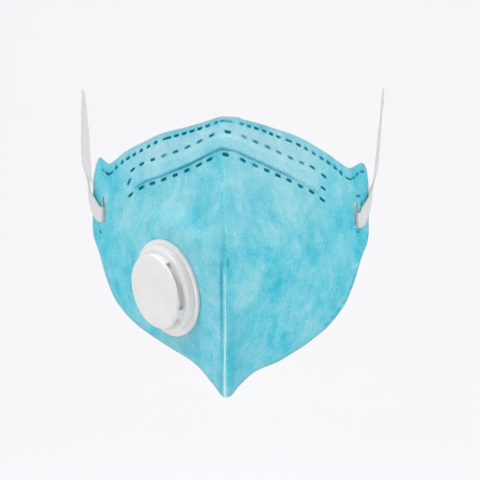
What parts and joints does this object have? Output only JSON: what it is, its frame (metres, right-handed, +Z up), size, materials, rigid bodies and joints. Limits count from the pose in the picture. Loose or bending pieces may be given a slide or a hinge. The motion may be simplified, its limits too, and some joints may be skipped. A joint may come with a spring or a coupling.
{
  "type": "disposable dust mask",
  "caption": "Fold-flat disposable dust mask with welded seams, a nose wire, a round exhalation valve with a silicone flap on one cheek, and flat elastic ear loops.",
  "frame": {"origin": "middle of the face opening: on the mid-plane, level with the rear edge of the side tabs", "axes": "+Y from the front of the mask towards the wearer's face, +Z up, +X towards the wearer's left"},
  "size_m": [0.1608, 0.1574, 0.1515],
  "materials": {
    "outer_fabric": "matte spunbond with welded dashes",
    "inner_fabric": "matte non-woven",
    "valve_plastic": "satin moulded polypropylene",
    "flap_silicone": "satin silicone",
    "elastic": "woven elastic",
    "nose_wire": "plain strip",
    "foam": "soft open foam"
  },
  "bodies": {
    "centre": {"centre_seam": "outer_fabric", "nose_wire": "nose_wire", "nose_foam": "foam"},
    "right_half": {"right_outer_cover": "outer_fabric", "right_support_layer": "inner_fabric", "right_filter_layer": "inner_fabric", "right_lining": "inner_fabric", "right_strap_wrap": "elastic", "valve_seat": "valve_plastic", "valve_cover": "valve_plastic", "valve_retaining_ring": "valve_plastic"},
    "left_half": {"left_outer_cover": "outer_fabric", "left_support_layer": "inner_fabric", "left_filter_layer": "inner_fabric", "left_lining": "inner_fabric", "left_strap_wrap": "elastic"},
    "flap": {"valve_flap": "flap_silicone"},
    "right_loop": {"right_ear_loop": "elastic"},
    "left_loop": {"left_ear_loop": "elastic"}
  },
  "joints": [
    {"name": "right_fold", "type": "hinge", "parent": "centre", "child": "right_half", "pos_m": [0, -0.0648, 0], "axis": [0, 0, -1], "range_deg": [0, 30], "deforming": ["nose_wire", "nose_foam"]},
    {"name": "left_fold", "type": "hinge", "parent": "centre", "child": "left_half", "pos_m": [0, -0.0648, 0], "axis": [0, 0, 1], "range_deg": [0, 30], "deforming": ["nose_wire", "nose_foam"]},
    {"name": "right_loop_swing", "type": "hinge", "parent": "right_half", "child": "right_loop", "pos_m": [-0.06823, 0.00143, 0.0133], "axis": [0, 0, 1], "range_deg": [0, 24.2]},
    {"name": "left_loop_swing", "type": "hinge", "parent": "left_half", "child": "left_loop", "pos_m": [0.06823, 0.00143, 0.0133], "axis": [0, 0, -1], "range_deg": [0, 24.2]},
    {"name": "flap_lift", "type": "hinge", "parent": "right_half", "child": "flap", "pos_m": [-0.03026, -0.06107, -0.01091], "axis": [-0.6364, 0.7714, 0], "range_deg": [0, 8.5], "stiffness_Nm_per_rad": 0.0008, "springref_deg": -3.44}
  ],
  "couplings": [
    {"joint": "left_fold", "follows": "right_fold", "ratio": 1},
    {"joint": "right_loop_swing", "follows": "right_fold", "ratio": 0.8},
    {"joint": "left_loop_swing", "follows": "right_fold", "ratio": 0.8}
  ]
}
